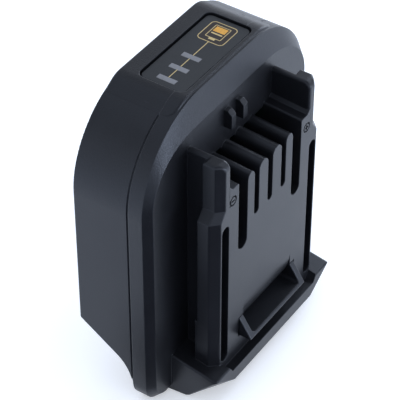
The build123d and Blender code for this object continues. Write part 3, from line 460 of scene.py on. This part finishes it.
first_coat = (INK_LOW, INK_HIGH)
second_coat = (INK_LOW + SECOND_COAT, INK_HIGH + SECOND_COAT)
bars_x = np.array([-13.2, -7.8, -2.2]) * MM
starts = bars_x + BAR_HALF
ends = np.append(bars_x[1:] - BAR_HALF, BOX_X - BOX_HALF[0])
marks = []
for start, end in zip(starts, ends):
    run = rounded_outline((end - start) / 2, LINE_HALF, LINE_CORNER)
    marks.append(patch_shape(run, ((start + end) / 2, bars_y), *first_coat))
box = rounded_outline(*BOX_HALF, BOX_CORNER)
marks.append(line_shape(box, 2 * LINE_HALF, (BOX_X, bars_y), *first_coat))
cell = rounded_outline(*CELL_HALF, CELL_CORNER)
marks.append(line_shape(cell, CELL_LINE, (CELL_X, bars_y), *second_coat))
knob = rounded_outline(*KNOB_HALF, MARK_CORNER)
marks.append(patch_shape(knob, (CELL_X - CELL_HALF[0] - KNOB_HALF[0], bars_y), *second_coat))
stripe = rounded_outline(*STRIPE_HALF, MARK_CORNER)
marks.append(patch_shape(stripe, (STRIPE_X, bars_y), *second_coat))
gauge_lines = mesh_piece("gauge_lines", *joined(marks), line_ink, smooth=False)

field = rounded_outline(*(BOX_HALF - LINE_HALF), BOX_CORNER - LINE_HALF)
field = patch_shape(field, (BOX_X, bars_y), INK_LOW - SECOND_COAT, INK_HIGH - SECOND_COAT)
gauge_ground = mesh_piece("gauge_ground", *field, ground_ink, smooth=False)
charge = rounded_outline(*CHARGE_HALF, MARK_CORNER)
charge = patch_shape(charge, (CHARGE_X, bars_y), *second_coat)
gauge_fill = mesh_piece("gauge_fill", *charge, charge_ink, smooth=False)
for piece in (gauge_lines, gauge_ground, gauge_fill):
    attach(piece, "panel")


# Coil springs behind the latch


COIL_TURNS = 6
COIL_STEPS = 40
CLOSED_SHARE = 0.1
WIRE_SIDES = 10
COIL_RADIUS = 2.3 * MM
SPRING_WIRE = 0.3 * MM
COILS_X = 9.0 * MM


def coil_shape(centre_x, centre_z, front, back):
    """Spring wire on a helix about the Y axis; the depth stands still over the first and last tenth."""
    share = np.linspace(0, 1, COIL_TURNS * COIL_STEPS + 1)
    turn = 2 * np.pi * COIL_TURNS * share
    climb = np.clip((share - CLOSED_SHARE) / (1 - 2 * CLOSED_SHARE), 0, 1)
    depth = front + SPRING_WIRE + (back - front - 2 * SPRING_WIRE) * climb
    across = centre_x + COIL_RADIUS * np.cos(turn)
    path = np.stack([across, depth, centre_z + COIL_RADIUS * np.sin(turn)], 1)
    return tube_shape(path, SPRING_WIRE, WIRE_SIDES)


spring_low, spring_high = corners("latch_springs")
coils_z = (spring_low[2] + spring_high[2]) / 2
coils = [coil_shape(x, coils_z, spring_low[1], spring_high[1]) for x in (-COILS_X, COILS_X)]
coil_springs = mesh_piece("coil_springs", *joined(coils), spring_wire_steel)
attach(coil_springs, "root")
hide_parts("latch_springs")
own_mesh(coil_springs)


# Foam strips under the panel


STRIP_SIDES = 48
STRIP_LEVELS = 15
STRIP_POWER = 0.3
STRIP_DRAW = 0.14
STRIP_WIDTH = 1.5 * MM


def strip_shape(low, high):
    """Foam strip: superellipses, cos t and sin t to a small power, stacked in height.

    They are drawn in at both ends by the fourth power of the height.
    """
    centre, half = (low + high) / 2, (high - low) / 2
    turn = np.linspace(0, 2 * np.pi, STRIP_SIDES, endpoint=False)
    unit = np.stack([np.cos(turn), np.sin(turn)], 1)
    unit = np.sign(unit) * abs(unit) ** STRIP_POWER
    level = np.linspace(-1, 1, STRIP_LEVELS)[:, None]
    draw = 1 - STRIP_DRAW * abs(level) ** 4
    flat = centre[:2] + unit * half[:2] * draw[:, None]
    height = np.broadcast_to((centre[2] + level * half[2])[:, None], flat.shape[:2] + (1,))
    rings = np.concatenate([flat, height], -1).reshape(-1, 3)
    points = np.concatenate([rings, [[*centre[:2], low[2]], [*centre[:2], high[2]]]])
    return points, ring_faces(STRIP_LEVELS, STRIP_SIDES).tolist() + caps(STRIP_LEVELS, STRIP_SIDES)


foam_low, foam_high = corners("panel_foams")
left_strip = strip_shape(foam_low, np.array([foam_low[0] + STRIP_WIDTH, *foam_high[1:]]))
right_strip = strip_shape(np.array([foam_high[0] - STRIP_WIDTH, *foam_low[1:]]), foam_high)
foam_strips = mesh_piece("foam_strips", *joined([left_strip, right_strip]), foam_cells)
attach(foam_strips, "root")
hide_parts("panel_foams")
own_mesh(foam_strips)


# Sleeved wires from the blades to the main board


SLEEVE_BEND = 2.6 * MM
BEND_STEPS = 14
RUN_STEPS = 8
SLEEVE_SIDES = 20
SLEEVE_SHARE = 0.98


def sleeve_shape(node, x, radius):
    """Sleeved wire: straight up from the blade, round a quarter circle, and straight forward to the board."""
    low, high = corners(node)
    rear, top = high[1] - radius, high[2] - radius
    quarter = np.linspace(0, np.pi / 2, BEND_STEPS)
    rise = np.linspace(low[2], top - SLEEVE_BEND, RUN_STEPS)[:-1]
    reach = np.linspace(rear - SLEEVE_BEND, low[1], RUN_STEPS)[1:]
    bend_y = rear - SLEEVE_BEND + SLEEVE_BEND * np.cos(quarter)
    bend_z = top - SLEEVE_BEND + SLEEVE_BEND * np.sin(quarter)
    depth = np.concatenate([np.full(len(rise), rear), bend_y, reach])
    height = np.concatenate([rise, bend_z, np.full(len(reach), top)])
    path = np.stack([np.full(len(depth), x), depth, height], 1)
    return tube_shape(path, radius * SLEEVE_SHARE, SLEEVE_SIDES)


sleeves = (
    ("positive_wire", (12.0,), 1.1, red_silicone, "wire_red"),
    ("negative_wire", (-12.0,), 1.1, black_silicone, "wire_black"),
    ("signal_wires", (-4.0, 4.0), 0.5, yellow_silicone, "wire_yellow"),
)
for node, places, radius, finish, slot in sleeves:
    runs = [sleeve_shape(node, x * MM, radius * MM) for x in places]
    sleeve = mesh_piece(node + "_sleeve", *joined(runs), finish)
    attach(sleeve, "root")
    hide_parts(node)


# Floor, background and light


def seen_directly(tree):
    """1 for camera, glossy and transmission rays and 0 for the others."""
    path = add(tree, "ShaderNodeLightPath").outputs
    seen = {0: path["Is Camera Ray"], 1: path["Is Glossy Ray"]}
    seen = add(tree, "ShaderNodeMath", seen, operation="MAXIMUM").outputs["Value"]
    seen = {0: seen, 1: path["Is Transmission Ray"]}
    return add(tree, "ShaderNodeMath", seen, operation="MAXIMUM").outputs["Value"]


PAPER_GLOW = 0.36
FLOOR_HALF = 6.0
CARD_HEIGHT = 0.002
DARK_FROM = 0.35
DARK_TO = 0.75
OVERHEAD = 0.42
ROOM_LIGHT = 0.93
TOP_POWER = 0.8
RIGHT_POWER = 0.95
FRONT_POWER = 2.7
MATT = {"Roughness": 0.9, "Specular IOR Level": 0.0}

# Seamless paper: matt and pale; what looks at it directly sees it a little brighter, so that it reads white
paper, tree = blank_material("pale_paper")
glow = {0: seen_directly(tree), 1: PAPER_GLOW}
glow = add(tree, "ShaderNodeMath", glow, operation="MULTIPLY").outputs["Value"]
shader = {"Base Color": linear("#e6edf8"), **MATT}
shader = {**shader, "Emission Color": (1.0, 1.0, 1.0, 1.0), "Emission Strength": glow}
shader = add(tree, "ShaderNodeBsdfPrincipled", shader).outputs["BSDF"]
add(tree, "ShaderNodeOutputMaterial", {"Surface": shader})
floor_square = [(x * FLOOR_HALF, y * FLOOR_HALF, 0) for x, y in ((-1, -1), (1, -1), (1, 1), (-1, 1))]
floor = mesh_piece("studio_floor", floor_square, [(0, 1, 2, 3)], paper, smooth=False)

# Painted shadow in reflections: a grey sheet under the lens, which only gloss sees, stands for the object's
# shadow on the floor in front and gives the dark plastic its edges where they mirror it
floor_shade_grey, tree = blank_material("mirrored_floor_shade")
shader = add(tree, "ShaderNodeBsdfPrincipled", {"Base Color": linear("#54545e"), **MATT}).outputs["BSDF"]
add(tree, "ShaderNodeOutputMaterial", {"Surface": shader})

# Its corners are so many metres towards the lens and so many to its right, along these flat directions
to_lens = np.array([-0.84, -0.55])
to_right = np.array([0.55, -0.84])
card_ends = ((0.036, -0.045), (0.036, 0.07), (0.3, 0.2), (0.3, -0.2))
card_points = [(*(to_lens * ahead + to_right * aside), CARD_HEIGHT) for ahead, aside in card_ends]
card = mesh_piece("mirrored_floor_shade_card", card_points, [(0, 1, 2, 3)], floor_shade_grey, smooth=False)
card.visible_camera = card.visible_diffuse = card.visible_shadow = False

# Room: white where it is looked at up to a middling height and greyer overhead; it lights the object less
world = bpy.data.worlds.new("studio")
bpy.context.scene.world = world
world.use_nodes = True
tree = world.node_tree
tree.nodes.clear()
way = add(tree, "ShaderNodeTexCoord").outputs["Generated"]
height = add(tree, "ShaderNodeSeparateXYZ", {"Vector": way}).outputs["Z"]
overhead = {"Value": height, "From Min": DARK_FROM, "From Max": DARK_TO, "To Min": 1.0, "To Max": OVERHEAD}
overhead = add(tree, "ShaderNodeMapRange", overhead).outputs["Result"]
room = {"Factor": seen_directly(tree), "A": ROOM_LIGHT, "B": overhead}
room = add(tree, "ShaderNodeMix", room).outputs["Result"]
room = add(tree, "ShaderNodeBackground", {"Color": linear("#f4f8ff"), "Strength": room}).outputs["Background"]
add(tree, "ShaderNodeOutputWorld", {"Surface": room})


def softbox(name, place, target, width, height, power):
    """Rectangular area light at a place, aimed at a target, all in metres and watts."""
    lamp = bpy.data.lights.new(name, "AREA")
    lamp.shape = "RECTANGLE"
    lamp.size, lamp.size_y, lamp.energy = width, height, power
    lamp.color = linear("#e8effa")[:3]
    made = bpy.data.objects.new(name, lamp)
    made.location = place
    made.rotation_mode = "QUATERNION"
    made.rotation_quaternion = (Vector(target) - Vector(place)).to_track_quat("-Z", "Y")
    bpy.context.scene.collection.objects.link(made)


MIDDLE = (0.0, 0.0, 0.05)
softbox("top_softbox", (-0.1, 0.3, 0.9), MIDDLE, 0.7, 0.7, TOP_POWER)
softbox("right_softbox", (0.38, -0.03, 0.22), MIDDLE, 0.25, 0.25, RIGHT_POWER)
softbox("front_softbox", (0.2, -0.85, 0.1), MIDDLE, 0.3, 0.16, FRONT_POWER)

# Camera where the photo was taken from, as fitted to its points
camera_data = bpy.data.cameras.new("photo_camera")
camera_data.sensor_width = 36.0
camera_data.lens = 174.86
camera_data.clip_start = 0.01
camera = bpy.data.objects.new("photo_camera", camera_data)
camera.location = Vector((-329.66, -215.68, 395.33)) * MM
aim = Vector((-32.94, -15.90, 78.79)) * MM
camera.rotation_mode = "QUATERNION"
camera.rotation_quaternion = (aim - camera.location).to_track_quat("-Z", "Y")
bpy.context.scene.collection.objects.link(camera)
bpy.context.scene.camera = camera
bpy.context.scene.view_settings.view_transform = "Standard"
